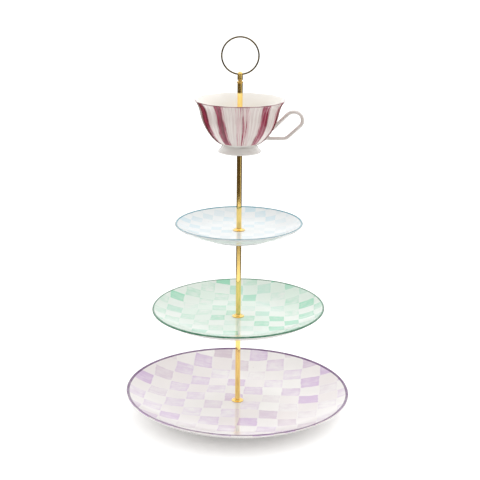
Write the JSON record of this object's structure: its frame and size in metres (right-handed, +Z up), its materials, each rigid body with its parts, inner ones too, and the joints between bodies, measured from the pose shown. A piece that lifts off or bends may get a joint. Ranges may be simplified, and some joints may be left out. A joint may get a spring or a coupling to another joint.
{
  "type": "tiered cake stand",
  "caption": "Serving stand of round china plates in falling sizes with a footed teacup above them, clamped on a slim brass spindle with a carrying ring.",
  "frame": {"origin": "on the spindle's axis, at the level of the base plate's foot ring", "axes": "+Z up the spindle; +X towards the teacup's handle; -Y is the front"},
  "size_m": [0.2664, 0.2664, 0.446],
  "materials": {
    "base_china": "glossy glaze over lilac painted checks",
    "middle_china": "glossy glaze over green painted checks",
    "upper_china": "glossy glaze over pale blue painted checks",
    "cup_china": "glossy glaze over magenta brushed stripes",
    "rod_brass": "polished and plated",
    "brass_fittings": "turned and polished",
    "washer_brass": "stamped",
    "ring_brass": "polished and plated",
    "cushion": "matt"
  },
  "bodies": {
    "base_tier": {"base_plate": "base_china"},
    "spindle": {"base_screw": "brass_fittings", "base_support_washer": "washer_brass", "base_under_cushion": "cushion", "base_top_cushion": "cushion", "base_flange": "brass_fittings", "base_rod": "rod_brass", "middle_support_washer": "washer_brass", "middle_under_cushion": "cushion", "middle_top_cushion": "cushion", "middle_flange": "brass_fittings", "middle_rod": "rod_brass", "upper_support_washer": "washer_brass", "upper_under_cushion": "cushion", "upper_top_cushion": "cushion", "upper_flange": "brass_fittings", "upper_rod": "rod_brass", "cup_support_washer": "washer_brass", "cup_under_cushion": "cushion", "cup_top_cushion": "cushion", "cup_flange": "brass_fittings", "cup_post": "rod_brass", "ring_eye": "ring_brass"},
    "middle_tier": {"middle_plate": "middle_china"},
    "upper_tier": {"upper_plate": "upper_china"},
    "cup_tier": {"tea_cup": "cup_china"},
    "ring": {"ring_handle": "ring_brass"}
  },
  "joints": [
    {"name": "spindle_turn", "type": "hinge", "parent": "base_tier", "child": "spindle", "pos_m": [0, 0, 0.0062], "axis": [0, 0, 1], "continuous": true},
    {"name": "middle_turn", "type": "hinge", "parent": "spindle", "child": "middle_tier", "pos_m": [0, 0, 0.1142], "axis": [0, 0, 1], "continuous": true},
    {"name": "upper_turn", "type": "hinge", "parent": "spindle", "child": "upper_tier", "pos_m": [0, 0, 0.22], "axis": [0, 0, 1], "continuous": true},
    {"name": "cup_turn", "type": "hinge", "parent": "spindle", "child": "cup_tier", "pos_m": [0, 0, 0.3236], "axis": [0, 0, 1], "continuous": true},
    {"name": "ring_swing", "type": "hinge", "parent": "spindle", "child": "ring", "pos_m": [0, 0, 0.4037], "axis": [1, 0, 0], "range_deg": [-170, 170]}
  ]
}
